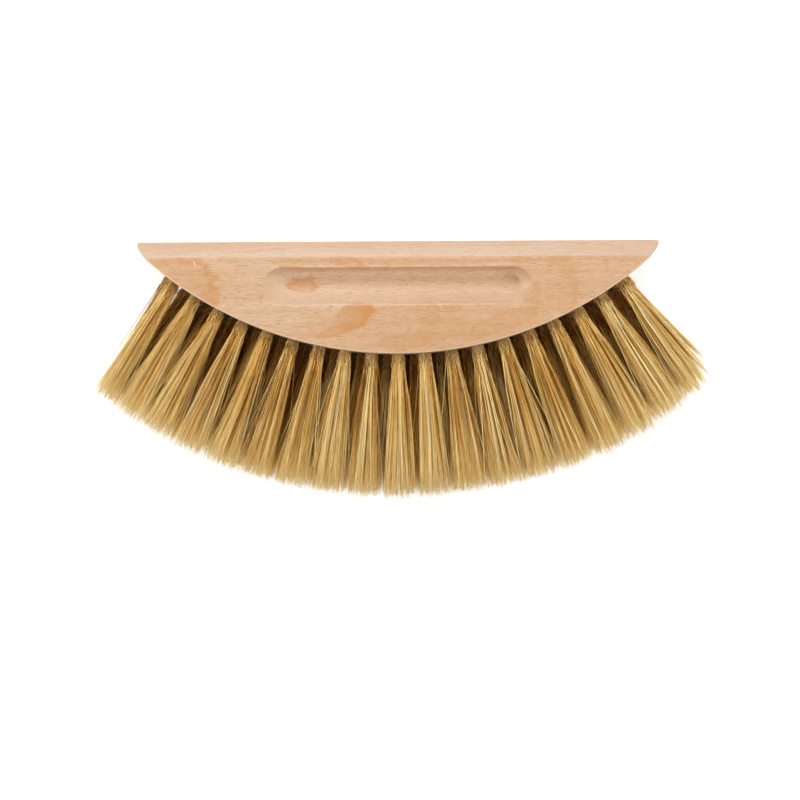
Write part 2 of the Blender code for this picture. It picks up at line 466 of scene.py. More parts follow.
# %% [markdown]
# ## The holes
#
# Each tuft is folded over a flat wire and driven into a blind hole, where the ends of the wire bite into the
# wood. The drill is a cylinder and the slit for the wire a thin box. Boolean cuts suit both, since the block
# is finished and the tools are simple closed solids.

# %% Drill and slit cutters
drill_sides = 20
wire_length = 0.0084
wire_height = 0.0024
wire_thickness = 0.0005
wire_middle = -0.0093
clearance = 0.0003


def hole_cutters():
    drills, slits = bmesh.new(), bmesh.new()
    drill_length = hole_depth + overrun
    slit_size = Matrix.Diagonal((wire_thickness + 2 * clearance, wire_length + 2 * clearance,
                                 wire_height + 2 * clearance, 1))
    for _, _, place in places:
        drill_place = place @ Matrix.Translation((0, 0, overrun - drill_length / 2))
        bmesh.ops.create_cone(drills, cap_ends=True, segments=drill_sides, radius1=hole_radius,
                              radius2=hole_radius, depth=drill_length, matrix=drill_place)
        slit_place = place @ Matrix.Translation((0, 0, wire_middle))
        bmesh.ops.create_cube(slits, size=1, matrix=slit_place @ slit_size)
    return [new_object("drill_cutters", mesh_from(drills, "drill_cutters")),
            new_object("slit_cutters", mesh_from(slits, "slit_cutters"))]


cutters = groove_cutters + hole_cutters()
print([cutter.name for cutter in cutters])

# %% [markdown]
# ## Cutting the block
#
# All four cutters work on the block as Boolean modifiers. A Weighted Normal modifier follows, so that the
# large flat faces keep their own normals and only the small rounds between them shade softly. The result is
# taken as one plain mesh, and the cutters are thrown away.

# %% Cut, then take the finished mesh
smooth_angle = radians(40)
block_mesh.shade_smooth()
block_mesh.set_sharp_from_angle(angle=smooth_angle)
beech_block = new_object("beech_block", block_mesh)
for cutter in cutters:
    cut = beech_block.modifiers.new(cutter.name, "BOOLEAN")
    cut.operation = "DIFFERENCE"
    cut.solver = "EXACT"
    cut.object = cutter
bpy.context.view_layer.update()
finished = beech_block.evaluated_get(bpy.context.evaluated_depsgraph_get())
beech_block.data = bpy.data.meshes.new_from_object(finished)
beech_block.modifiers.clear()
for cutter in cutters:
    bpy.data.objects.remove(cutter)
beech_block.data.shade_smooth()
beech_block.data.set_sharp_from_angle(angle=smooth_angle)
even = beech_block.modifiers.new("even_normals", "WEIGHTED_NORMAL")
even.keep_sharp = True
even.weight = 100
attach(beech_block, "root")
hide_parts("block")
print("block:", len(beech_block.data.polygons), "faces")

# %% [markdown]
# ## Beech
#
# Steamed beech is a warm pinkish tan. Up close it shows thousands of short dark flecks along the grain, long
# faint streaks, and wide bands where the face runs almost level with a growth layer. All of it is solid
# texture on Object coordinates, so it runs through the block: dashes on the faces turn into dots on the end
# grain, where they are fainter. Noise stretched along X makes flecks and streaks, and a distorted wave makes
# the layers.

# %% Grain, streaks and layers
pale_beech = (0.718, 0.506, 0.334, 1)
plain_beech = (0.655, 0.436, 0.268, 1)
warm_beech = (0.580, 0.265, 0.085, 1)
fleck_brown = (0.420, 0.195, 0.080, 1)
layer_strength, streak_strength = 0.24, 0.17
fleck_strength, fine_fleck_strength = 0.50, 0.26
layer_tilt, layer_turn = radians(64), radians(-3.0)
grain_bend = 0.004
# Each mask of the grain: cells per metre along X, Y and Z, detail, roughness, where it starts and is full
grain_masks = {
    "tone": ((7, 45, 45), 4, 0.5, 0.36, 0.66),
    "streak": ((10, 560, 560), 4, 0.6, 0.38, 0.66),
    "fleck": ((240, 2300, 2300), 1, 0.5, 0.55, 0.67),
    "fine_fleck": ((460, 3600, 3600), 1, 0.5, 0.52, 0.64),
}
end_grain_slant = (0.05, 0.40)
end_grain_share = 0.35


def beech_grain(tree, coordinates):
    """The colour of the plain wood, the masks of its flecks and streaks, and its bent coordinates."""
    bend = push(tree, noise(tree, coordinates, (14, 40, 40), detail=3), grain_bend)
    offset = add_node(tree, "CombineXYZ", Y=bend, Z=bend).outputs[0]
    wavy = add_node(tree, "VectorMath", {"operation": "ADD"})
    plug_in(tree, wavy.inputs[0], coordinates)
    plug_in(tree, wavy.inputs[1], offset)
    grain = wavy.outputs[0]

    tone, streak, fleck, fine_fleck = (
        fade(tree, noise(tree, grain, *kind), start, full) for *kind, start, full in grain_masks.values())
    endways = distance(tree, axes(tree, add_node(tree, "NewGeometry").outputs["Normal"])["X"])
    lengthways = fade(tree, endways, *end_grain_slant, 1.0, end_grain_share)
    fleck, fine_fleck = product(tree, fleck, lengthways), product(tree, fine_fleck, lengthways)
    layers = add_node(tree, "Mapping", Vector=grain, Rotation=(layer_tilt, 0, layer_turn), Scale=(0.10, 1, 1))
    wave = add_node(tree, "TexWave", {"bands_direction": "Z"}, Vector=layers.outputs[0], Scale=52.0,
                    Distortion=3.2, Detail=3.0, Detail_Scale=26.0, Detail_Roughness=0.55).outputs[1]
    layer = ramp(tree, wave, [(0.0, 1.0), (0.10, 0.55), (0.45, 0.0)])

    colour = blend_in(tree, plain_beech, pale_beech, tone)
    colour = blend_in(tree, colour, warm_beech, layer, layer_strength)
    colour = blend_in(tree, colour, warm_beech, streak, streak_strength)
    colour = blend_in(tree, colour, fleck_brown, fine_fleck, fine_fleck_strength)
    colour = blend_in(tree, colour, fleck_brown, fleck, fleck_strength)
    return colour, fleck, streak, grain


beech, beech_tree, beech_shader = new_material("beech", 0.52, 0.45)
coordinates = add_node(beech_tree, "TexCoord").outputs["Object"]
wood_colour, fleck, streak, grain = beech_grain(beech_tree, coordinates)
print("beech:", len(beech_tree.nodes), "nodes for the grain")

# %% [markdown]
# ## Figure in the beech
#
# Where the face just grazes a growth layer, the layer shows as a warm patch with a soft inside and a darker,
# ragged rim. This block has a large one at the left end, an island in the groove, a reddish one below it and
# some more along the round side, on top of a few wide warm zones. The chamfer cuts the layers at a slant, so
# the face's patches stop at its line, and it has long thin ones of its own. Each patch is a stretched ball:
# the distance from its middle runs through a ramp that is strongest just inside the rim. Two noises roughen
# that distance, a broad one that bends the rim and a long thin one that feathers it along the grain.

# %% Where the warm patches are
# Each patch: its middle and half sizes in millimetres, its turn in degrees, its strength and the share of
# it that the inside has, and how much of it fades to the left
face_patches = [
    ((15, 22.5), (75, 17.5), 4, 0.22, 1, 0.2),
    ((102, 45.5), (48, 24), -6, 0.22, 1, 0.1),
    ((10, 57), (85, 3.4), 0, 0.34, 1, 0),
    ((-117, 44), (25, 17.8), -8, 0.78, 0.42, 0.62),
    ((-51.2, 44.6), (12.4, 5.7), -4, 0.84, 0.54, 0),
    ((-24, 26.8), (13, 8), 22, 1, 0.84, 0.72),
    ((-34.5, 18.5), (12.5, 2.8), 18, 0.74, 0.7, 0.4),
    ((-16.3, 28.6), (2.8, 5.2), -16, 0.72, 0.9, 0.3),
    ((-24.5, 20.2), (10.5, 1.4), 21, 0.72, 1, 0.6),
    ((-97.5, 38.5), (3.4, 6), 12, 0.5, 0.9, 0.4),
    ((3, 12), (16, 4.8), 6, 0.46, 0.6, 0.2),
    ((16, 29), (6.5, 8.5), 24, 0.5, 0.6, 0.4),
    ((29, 31), (6, 3), 0, 0.48, 0.7, 0),
    ((24, 19), (16, 7), 14, 0.34, 0.6, 0.2),
    ((53.5, 22.5), (22.5, 6), 22, 0.45, 0.6, 0.1),
    ((71.2, 38.5), (6, 4), 34, 0.34, 0.6, 0),
    ((82, 36), (15, 24), -12, 0.46, 0.4, 0.95),
    ((91.5, 34.5), (4.6, 8.5), -14, 0.24, 0.1, 0.9),
    ((-27.5, 56), (9.5, 3), -8, 0.58, 0.5, 0),
    ((-18, 52.8), (4.2, 1.2), -4, 0.4, 0.8, 0),
    ((-59, 56), (11, 3.6), -4, 0.28, 0.6, 0),
]
chamfer_patches = [
    ((-73.6, 62.2), (24, 1.1), 5, 0.5, 0.9, 0),
    ((-100, 64.6), (44, 3.6), 3, 0.26, 0.9, 0),
    ((10, 66.2), (90, 2.6), 1, 0.3, 0.9, 0),
    ((42, 64.1), (48, 0.8), 1, 0.3, 0.9, 0),
    ((-28, 63.6), (34, 0.7), -2, 0.28, 0.9, 0),
    ((106, 62), (27, 1.8), -3, 0.26, 0.8, 0),
    ((-121, 61), (19, 1.6), 6, 0.24, 0.8, 0),
    ((63.4, 65), (9, 1.8), 0, 0.28, 0.9, 0),
    ((98.9, 65), (3.6, 0.7), 2, 0.9, 1, 0),
]
patch_height, patch_half_height = 0.036, 0.011
print("figure:", len(face_patches), "patches on the face,", len(chamfer_patches), "on the chamfer")

# %% Warm patches
rim_bend, rim_feather = 0.85, 0.70
rim_start, rim_peak, rim_half = 0.58, 0.82, 0.91
fade_start, fade_end = -1.0, 0.6
face_end, chamfer_start = chamfer_break + 0.0006, chamfer_break - 0.0002


def ball(tree, coordinates, middle, half_sizes, turn=0.0):
    """A stretched ball: a point's place in it, and its distance from the middle, which is 1 at the skin."""
    placed = add_node(tree, "Mapping", {"vector_type": "TEXTURE"}, Vector=coordinates, Location=middle,
                      Rotation=(0, 0, turn), Scale=half_sizes).outputs[0]
    return placed, length_of(tree, placed)


def rim_roughness(tree, grain):
    bend = push(tree, noise(tree, grain, (75, 190, 120), detail=3), rim_bend)
    feather = push(tree, noise(tree, grain, (130, 1300, 900), detail=4, roughness=0.7), rim_feather)
    return maths(tree, "ADD", bend, feather)


def add_patches(tree, grain, rough, patches, surface, colour):
    for (x, y), (half_x, half_y), turn, strength, inside, left_fade in patches:
        placed, away = ball(tree, grain, (x / 1000, y / 1000, patch_height),
                            (half_x / 1000, half_y / 1000, patch_half_height), radians(turn))
        share = ramp(tree, maths(tree, "ADD", away, rough),
                     [(rim_start, inside), (rim_peak, 1.0), (rim_half, 0.4), (1.0, 0.0)])
        kept = fade(tree, axes(tree, placed)["X"], fade_start, fade_end, 1 - left_fade)
        colour = blend_in(tree, colour, warm_beech, share, kept, surface, strength)
    return colour


rough = rim_roughness(beech_tree, grain)
across = axes(beech_tree, coordinates)["Y"]
on_face = fade(beech_tree, across, face_end, chamfer_start)
on_chamfer = fade(beech_tree, across, chamfer_start, face_end)
wood_colour = add_patches(beech_tree, grain, rough, face_patches, on_face, wood_colour)
wood_colour = add_patches(beech_tree, grain, rough, chamfer_patches, on_chamfer, wood_colour)
print("beech:", len(beech_tree.nodes), "nodes with the figure")

# %% [markdown]
# ## Painted sheen and highlights
#
# The chamfer is painted paler and greyer than the face, most of all along its lower line: a painted sheen of
# the lamp beyond the straight edge. The lower half of the groove is painted paler and greyer too, as painted
# light where its lower wall faces that lamp. A thin light line along the round side and along the groove's
# lower rim is a painted highlight. All these places are known from the shape, so their masks come straight
# from the
# coordinates: how far a point lies along Y, from the arc's centre and below the nearest face.

# %% Painted sheen, painted light and painted highlights
# The three colours below are painted light: a painted sheen, painted light in the groove and a painted
# highlight.
chamfer_sheen_colour = (0.650, 0.525, 0.435, 1)
groove_light_colour = (0.620, 0.460, 0.370, 1)
rim_highlight_colour = (0.900, 0.720, 0.550, 1)
chamfer_sheen_low, chamfer_sheen_high = 0.42, 0.26
groove_light_strength, groove_rim_highlight, round_rim_highlight = 0.32, 0.42, 0.60
rim_width = 0.0011
groove_rim_width = 0.0009


def add_painted_light(tree, coordinates, on_chamfer, colour):
    place = axes(tree, coordinates)
    half_thickness, groove_side, groove_end = block_thickness / 2, groove_width / 2, groove_length / 2
    below_face = maths(tree, "SUBTRACT", half_thickness, distance(tree, place["Z"], half_thickness))
    off_groove = distance(tree, place["Y"], groove_y)
    off_rim = distance(tree, place["Y"], groove_y - groove_side)
    along = distance(tree, place["X"])
    flat = add_node(tree, "Mapping", Vector=coordinates, Location=(0, -arc_centre.y, 0), Scale=(1, 1, 0))
    reach = length_of(tree, flat.outputs[0])

    # Painted sheen of the lamp beyond the straight edge, strongest along the chamfer's lower line.
    chamfer_sheen = fade(tree, place["Y"], chamfer_break, edge_y, chamfer_sheen_low, chamfer_sheen_high)
    colour = blend_in(tree, colour, chamfer_sheen_colour, on_chamfer, chamfer_sheen)
    # Painted light on the lower half of the groove, where its lower wall faces the lamp beyond the straight
    # edge.
    colour = blend_in(tree, colour, groove_light_colour, groove_light_strength,
                      fade(tree, off_groove, groove_side + groove_rim_width, groove_side - groove_rim_width),
                      fade(tree, along, groove_end + rim_width, groove_end),
                      fade(tree, below_face, 0.0, groove_depth / 4),
                      fade(tree, place["Y"], groove_y + rim_width, groove_y - groove_side / 2))
    # A painted highlight along the groove's lower rim.
    colour = blend_in(tree, colour, rim_highlight_colour, groove_rim_highlight,
                      fade(tree, off_rim, groove_rim_width, 0.0),
                      fade(tree, along, groove_end, groove_length / 3),
                      fade(tree, below_face, groove_rim_width, groove_rim_width / 2))
    # A painted highlight along the rim of the round side.
    return blend_in(tree, colour, rim_highlight_colour, round_rim_highlight,
                    fade(tree, reach, arc_radius - rim_width, arc_radius - rim_width / 4),
                    fade(tree, below_face, rim_width, rim_width / 3))


wood_colour = add_painted_light(beech_tree, coordinates, on_chamfer, wood_colour)
print("pale from y =", round(chamfer_break, 4), "up, and within", rim_width, "m of the round rims")

# %% [markdown]
# ## Finish of the beech
#
# The block is sanded and left raw, so it has a dull sheen, flecks that sink in a hair's breadth, a pale
# splinter near the left end of the chamfer, and at the blunt end of the groove some fibres that the router
# tore. Splinter and fibres are small stretched balls again, full inside and soft towards the skin. Colour,
# roughness and height all come from the same masks, as they do on the wood.

# %% Roughness and height
torn_middle = (0.0680, 0.0430, 0.033)
torn_half_sizes = (0.0050, 0.0040, 0.005)
torn_fibre_pale = (0.86, 0.70, 0.55, 1)
splinter_middle = (-0.1080, 0.0550, 0.036)
splinter_half_sizes = (0.0024, 0.0003, 0.002)
splinter_turn = radians(-62)
splinter_pale = (0.90, 0.78, 0.64, 1)
splinter_strength = 0.85
full_inside = 0.3
torn_speckle = (0.50, 0.62)
beech_roughness = (0.50, 0.68)
streak_height, torn_height = 0.35, 5.0


def finish_beech(tree, shader, coordinates, colour, fleck, streak):
    _, away = ball(tree, coordinates, torn_middle, torn_half_sizes)
    torn = fade(tree, away, 1.0, full_inside)
    speckle = noise(tree, coordinates, (900, 1500, 1500), detail=3, roughness=0.7)
    colour = blend_in(tree, colour, torn_fibre_pale, torn, fade(tree, speckle, *torn_speckle))
    _, away = ball(tree, coordinates, splinter_middle, splinter_half_sizes, splinter_turn)
    colour = blend_in(tree, colour, splinter_pale, splinter_strength, fade(tree, away, 1.0, full_inside))
    height = maths(tree, "SUBTRACT", product(tree, streak, streak_height), fleck)
    height = maths(tree, "ADD", height, product(tree, torn, speckle, torn_height))
    dress(tree, shader, colour, fleck, beech_roughness, Strength=0.40, Distance=0.00012, Height=height)


finish_beech(beech_tree, beech_shader, coordinates, wood_colour, fleck, streak)
beech_block.data.materials.clear()
beech_block.data.materials.append(beech)
print("beech:", len(beech_tree.nodes), "nodes in all")

# %% [markdown]
# ## One hair
#
# A bristle is a fine tapering hair. Curves could be given a round bevel, but a tuft holds hundreds, and each
# face counts. So one hair is a three-sided rod: a cone primitive, sliced by planes into rings. It is
# straight and one unit wide here, with ring number as its height, and every ring gets its real place
# when the tuft is combed. It also carries a UV strip, which gives each hair a column of its own.

# %% The rod
hair_sides = 3
hair_levels = 12
column_margin = 0.1
cap_strip = 0.01


def straight_hair():
    bm = bmesh.new()
    length = hair_levels - 1
    bmesh.ops.create_cone(bm, cap_ends=True, segments=hair_sides, radius1=1, radius2=1, depth=length,
                          matrix=Matrix.Translation((0, 0, length / 2)))
    for level in range(1, hair_levels - 1):
        everything = bm.verts[:] + bm.edges[:] + bm.faces[:]
        bmesh.ops.bisect_plane(bm, geom=everything, plane_co=(0, 0, level), plane_no=(0, 0, 1))
    strip = bm.loops.layers.uv.new("OFBake")
    for face in bm.faces:
        is_cap = len({round(vert.co.z) for vert in face.verts}) == 1
        for loop in face.loops:
            column = round((atan2(loop.vert.co.y, loop.vert.co.x) / (2 * pi)) % 1 * hair_sides) % hair_sides
            along = loop.vert.co.z / length
            if is_cap and column == 1:
                along += cap_strip if along < 0.5 else -cap_strip
            across = column_margin + (1 - 2 * column_margin) * column / (hair_sides - 1)
            loop[strip].uv = (across, along)
    return mesh_from(bm, "straight_hair")


hair = straight_hair()
print("one hair:", len(hair.vertices), "points,", len(hair.polygons), "faces")

# %% [markdown]
# ## Combing a tuft
#
# All hairs of a tuft start in a round bundle, folded over the wire at the bottom of the hole. They leave the
# wood tight and parallel, tangle a little over the first centimetre, and then fan out, in locks that hold
# together, to a tip line trimmed round. Hair particles would do this, but they export as curves. A seeded
# random generator gives every hair its own root, lock, length, bend and thickness, and the numbers stay the
# same on every run.

# %% Roots, locks and tips
hairs_per_tuft = 300
hair_radius = 0.00016
locks_per_tuft = 28
lock_pull = 0.64
golden_angle = pi * (3 - 5**0.5)
bundle_radius = hole_radius - clearance - hair_radius
tip_pitch = pitch_angle * (arc_radius + bristle_length)
tip_row_spacing = row_spacing + bristle_length * tan(row_lean)
tuft_tip_widths = {"front": 0.92 * tip_pitch, "middle": 1.12 * tip_pitch, "back": 1.16 * tip_pitch}
tuft_tip_depth = 0.90 * tip_row_spacing
lock_scatter, parting_scatter = 0.06, 0.10
reach_scatter, tip_scatter = 0.12, 0.07
stray_spread = (1, 0.5)
usual_length, longest, shortest = 1.035, 1.052, 0.7
length_scatter, lock_length_scatter = 0.062, 0.017
short_by = (0.02, 0.15)
long_share = 0.12
shape_seed = 4127


def sunflower(count):
    """Points spread evenly over a disc of radius 1."""
    number = np.arange(count)
    reach = np.sqrt((number + 0.5) / count)
    return np.stack([reach * np.cos(number * golden_angle), reach * np.sin(number * golden_angle)], 1)


def locks_of(rng, roots):
    """For each hair, the middle of the lock it belongs to and the lock's number."""
    middles = sunflower(locks_per_tuft) + rng.normal(0, lock_scatter, (locks_per_tuft, 2))
    apart = roots[:, None, :] + rng.normal(0, parting_scatter, (len(roots), 1, 2)) - middles[None, :, :]
    lock = np.square(apart).sum(2).argmin(1)
    return middles[lock], lock


def tip_shares(rng, roots, lock_middles, stray_share, stray_reach):
    """Where each hair's tip goes, as a share of the tuft's half width and half depth."""
    own = roots * (1 + rng.normal(0, reach_scatter, (len(roots), 1)))
    own += rng.normal(0, tip_scatter, roots.shape)
    share = own * (1 - lock_pull) + lock_middles * lock_pull
    stray = rng.random(len(roots)) < stray_share
    share[stray] += rng.normal(0, stray_reach, (stray.sum(), 2)) * stray_spread
    return share


def length_shares(rng, lock, short_share):
    """Each hair's length: most end near the trim line, lock by lock, some well before it, a few past it."""
    share = usual_length - np.abs(rng.normal(0, length_scatter, len(lock)))
    share += rng.normal(0, lock_length_scatter, locks_per_tuft)[lock]
    short = rng.random(len(lock)) < short_share
    share[short] -= rng.uniform(*short_by, short.sum())
    long = rng.random(len(lock)) < long_share
    share[long] = rng.uniform(1.0, longest, long.sum())
    return share.clip(shortest, longest)


print("front tuft's tips:", round(tuft_tip_widths["front"], 4), "wide,", round(tuft_tip_depth, 4), "deep")

# %% [markdown]
# The outermost tufts have no neighbour to lean on. At the left end they were combed inwards, and their hairs
# run side by side. At the right end the last front tuft flares out instead. Both ends are a little shorter
# and more frayed than the rest, and trimmed square to the brush's length.

# %% How the end tufts differ
# Row and number: inward sweep in metres at the tips, share of the usual width
end_tufts = {
    ("front", 1): (0.0054, 0.82), ("middle", 1): (0.0096, 0.55), ("back", 1): (0.0030, 0.85),
    ("front", 2): (0.0015, 1.00), ("middle", 2): (0.0022, 0.92),
    ("front", 19): (0.0012, 1.15), ("middle", 19): (-0.0010, 0.95), ("back", 19): (-0.0045, 0.70),
    ("front", 18): (0.0000, 1.00), ("back", 18): (-0.0010, 0.95),
}
end_trim_shares = {1: 0.052, 2: 0.038, 3: 0.028, 4: 0.018, 5: 0.008, 17: 0.012, 18: 0.032, 19: 0.042}
trimmed_half_length = 0.1640
trim_wobble = 0.0015
widest_end_share = 1.4
# For a tuft within its row, then for one at an end: share of strays, how far they stray, share of short hairs
usual_disorder = (0.07, 0.60, 0.18)
end_disorder = (0.11, 0.42, 0.36)
print(len(end_tufts), "tufts are combed in their own way")

# %% [markdown]
# The comb gives every hair twelve rings: two in the hole, one at its mouth, five in the tangled part, and
# four along the free length. A ring's middle is a point of the hair's path. The path is a straight fan with a
# gentle bow on top. The rings of the tangled part are jogged sideways, but held within the round bundle.

# %% The comb
fold_depth, leg_depth = -0.0114, -0.0082
fold_squeeze = 0.12
tangle_levels = (0.0009, 0.0026, 0.0042, 0.0060, 0.0095)
tangle_jog = (0.00030, 0.00080, 0.00085, 0.00060, 0.00030)
fuzz = 0.0002
free_shares = (0.36, 0.60, 0.82, 1.0)
bulges = {"front": 0.0002, "middle": 0.0004, "back": 0.0011}
hair_bow, lock_bow = 0.00036, 0.00048
lowest, highest = 0.0006, block_thickness - 0.0002
taper = np.array([0.8, 1.0, 1.0, 1.0, 1.0, 1.0, 1.0, 1.0, 0.97, 0.91, 0.76, 0.32])


def comb(rng, row, number):
    """The middles of all rings of all hairs, in the tuft's own space: hair, level, xyz."""
    lean = row_lean * row_ranks[row]
    sweep, narrow = end_tufts.get((row, number), (0.0, 1.0))
    at_end = (row, number) in end_tufts
    stray_share, stray_reach, short_share = end_disorder if at_end else usual_disorder
    roots = sunflower(hairs_per_tuft)
    lock_middles, lock = locks_of(rng, roots)
    tips = tip_shares(rng, roots, lock_middles, stray_share, stray_reach)
    if at_end:
        tips = tips.clip(-widest_end_share, widest_end_share)
    tips *= (tuft_tip_widths[row] / 2 * narrow, tuft_tip_depth / 2)
    tips[:, 0] += sweep
    roots = roots * bundle_radius

    lengths = length_shares(rng, lock, short_share) - end_trim_shares.get(number, 0)
    trim = arc_radius + bristle_length * lengths
    tip_z = (np.sqrt(trim**2 - tips[:, 0]**2) - arc_radius + tips[:, 1] * sin(lean)) / cos(lean)
    if at_end:
        angle = -row_half_angle + pitch_angle * (number - 1 + row_shift_shares[row])
        furthest = trimmed_half_length + rng.normal(0, trim_wobble, hairs_per_tuft)
        sideways = tips[:, 0] * cos(angle) * np.sign(angle)
        tip_z = np.minimum(tip_z, (furthest - sideways) / abs(sin(angle)) - arc_radius)

    path = np.zeros((hairs_per_tuft, hair_levels, 3))
    path[:, :3, :2] = roots[:, None, :]
    path[:, 0, 0] *= fold_squeeze
    path[:, :2, 2] = fold_depth, leg_depth
    start = tangle_levels[0]
    for level, (z, jog) in enumerate(zip(tangle_levels, tangle_jog), 3):
        opened = (z - start) / (tip_z - start)
        jogged = roots + rng.normal(0, jog, (hairs_per_tuft, 2))
        limit = bundle_radius + bulges[row] + np.abs(rng.normal(0, fuzz, hairs_per_tuft))
        jogged *= np.minimum(1, limit / np.hypot(*jogged.T))[:, None]
        path[:, level, :2] = jogged + (tips - roots) * opened[:, None]
        path[:, level, 2] = z
    bend = rng.normal(0, hair_bow, (hairs_per_tuft, 2)) + rng.normal(0, lock_bow, (locks_per_tuft, 2))[lock]
    for level, share in enumerate(free_shares, 3 + len(tangle_levels)):
        z = tip_z * share
        opened = (z - start) / (tip_z - start)
        path[:, level, :2] = roots + (tips - roots) * opened[:, None] + bend * np.sin(pi * share)
        path[:, level, 2] = z
    return path, lock


sample_path, _ = comb(np.random.default_rng(shape_seed), "front", 10)
print("a combed tuft spans", np.round(np.ptp(sample_path, axis=(0, 1)) * 1000, 1), "mm")

# %% [markdown]
# ## Building the tufts
#
# Each tuft is its own piece, because each replaces its own CAD node. Copies of the straight hair and one
# staple of flat wire go into one mesh. Then every ring moves to its place on the combed path. Ring numbers
# and directions are read back from the straight hairs, so the order of the points doesn't matter. Two
# attributes go to the material: how light each hair is, and how far along it a point lies.

# %% Tuft meshes
def uncombed_tuft():
    """All straight hairs of a tuft, hair after hair, and the wire last."""
    bm = bmesh.new()
    for number in range(hairs_per_tuft):
        bm.from_mesh(hair)
    hair_points = len(bm.verts)
    size = Matrix.Diagonal((wire_thickness, wire_length, wire_height, 1))
    wire = bmesh.ops.create_cube(bm, size=1, matrix=Matrix.Translation((0, 0, wire_middle)) @ size)["verts"]
    for face in {face for vert in wire for face in vert.link_faces}:
        face.material_index = 1
    return mesh_from(bm, "uncombed_tuft"), hair_points


bundle, hair_points = uncombed_tuft()
points_per_hair = hair_points // hairs_per_tuft
straight = np.empty(len(bundle.vertices) * 3)
bundle.vertices.foreach_get("co", straight)
straight = straight.reshape(-1, 3)
level_of = np.rint(straight[:hair_points, 2]).astype(int)
hair_of = np.repeat(np.arange(hairs_per_tuft), points_per_hair)
side_of = straight[:hair_points, :2].copy()
print("uncombed tuft:", len(bundle.vertices), "points,", len(bundle.polygons), "faces")


# %% Comb each tuft into place
# The middle row's lower tone is painted shade deep in the brush; the front and back rows keep the bristle's
# own tone.
row_tones_and_shade = {"front": 0.47, "middle": 0.34, "back": 0.48}
hair_tone_scatter, lock_tone_scatter = 0.25, 0.21
# The tufts near the ends of the rows get lighter hair: painted light from the lamps at the ends.
thickness_range = (0.80, 1.20)
end_painted_light, end_painted_light_from = 0.10, 2 / 3
middle_tuft = (tufts_per_row + 1) / 2


def write_attribute(mesh, name, values):
    """Writes one value for each point of the hairs, and 0 for the wire's points, which come last."""
    values = np.append(values, np.zeros(len(mesh.vertices) - len(values)))
    mesh.attributes.new(name, "FLOAT", "POINT").data.foreach_set("value", values.astype(np.float32))


def give_each_hair_a_column(mesh):
    uv = np.empty(len(mesh.loops) * 2)
    mesh.uv_layers["OFBake"].data.foreach_get("uv", uv)
    uv = uv.reshape(-1, 2)
    corner = np.empty(len(mesh.loops), int)
    mesh.loops.foreach_get("vertex_index", corner)
    in_hair = corner < hair_points
    uv[in_hair, 0] = (hair_of[corner[in_hair]] + uv[in_hair, 0]) / hairs_per_tuft
    mesh.uv_layers["OFBake"].data.foreach_set("uv", uv.ravel())


def combed_tuft(name, row, number, place, rng):
    path, lock = comb(rng, row, number)
    turn = np.array(place)
    path = path @ turn[:3, :3].T + turn[:3, 3]
    path[:, 2:, 2] = path[:, 2:, 2].clip(lowest, highest)
    thick = hair_radius * rng.uniform(*thickness_range, hairs_per_tuft)
    spin = rng.uniform(0, 2 * pi, hairs_per_tuft)[hair_of]
    width = thick[hair_of] * taper[level_of]
    ring = np.zeros((hair_points, 3))
    ring[:, 0] = side_of[:, 0] * np.cos(spin) - side_of[:, 1] * np.sin(spin)
    ring[:, 1] = side_of[:, 0] * np.sin(spin) + side_of[:, 1] * np.cos(spin)
    points = straight @ turn[:3, :3].T + turn[:3, 3]
    points[:hair_points] = path[hair_of, level_of] + (ring * width[:, None]) @ turn[:3, :3].T

    mesh = bundle.copy()
    mesh.name = name
    mesh.vertices.foreach_set("co", points.ravel())
    tone = row_tones_and_shade[row] + rng.normal(0, hair_tone_scatter, hairs_per_tuft)
    tone += rng.normal(0, lock_tone_scatter, locks_per_tuft)[lock]
    outness = abs(number - middle_tuft) / (middle_tuft - 1)
    # Painted light: lighter hair towards the ends of the rows.
    tone += end_painted_light * max(0, outness - end_painted_light_from) / (1 - end_painted_light_from)
    write_attribute(mesh, "tone", tone.clip(0, 1)[hair_of])
    write_attribute(mesh, "along", level_of / (hair_levels - 1))
    mesh.shade_smooth()
    return mesh


give_each_hair_a_column(bundle)
rng = np.random.default_rng(shape_seed)
tufts = []
for row, number, place in places:
    node = f"tuft_{row}_{number:02d}"
    tuft = new_object(f"hairs_{row}_{number:02d}", combed_tuft(node, row, number, place, rng))
    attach(tuft, "root")
    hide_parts(node)
    tufts.append(tuft)
hair_faces = sum(len(tuft.data.polygons) for tuft in tufts)
print(len(tufts), "tufts of", hairs_per_tuft, "hairs,", hair_faces, "faces")

# %% [markdown]
# ## Bristle and wire
#
# Natural bristle runs from honey brown to pale straw, hair by hair. Each hair is dusty at its root and grows
# lighter towards its split tip, which is partly the bristle's own paler tip and partly painted light, where
# the thin tips glow against the white floor. The middle row, deep in the brush, is given darker hair than the
# other two as painted shade, and the tufts near the ends of the rows get lighter hair as painted light from
# the lamps at the ends. A ramp turns a hair's tone into its colour, and fine noise along the hair keeps it
# from looking like plastic. The wire is tinned steel with a dull, brushed look. It is hidden in the wood, but
# a part taken from this library can be cut open.

# %% Hair colours
hair_colours = [
    (0.00, (0.290, 0.104, 0.012, 1)),
    (0.25, (0.640, 0.302, 0.046, 1)),
    (0.50, (0.930, 0.590, 0.168, 1)),
    (0.75, (0.985, 0.738, 0.285, 1)),
    (1.00, (0.990, 0.825, 0.445, 1)),
]
# The tip colour is partly the bristle's own paler tip and partly painted light, where thin tips glow against
# the white floor.
tip_straw_and_glow = (0.995, 0.745, 0.300, 1)
root_dust = (0.730, 0.520, 0.260, 1)
bristle_sheen = (1.0, 0.80, 0.45, 1)
mottle_strength = 0.25
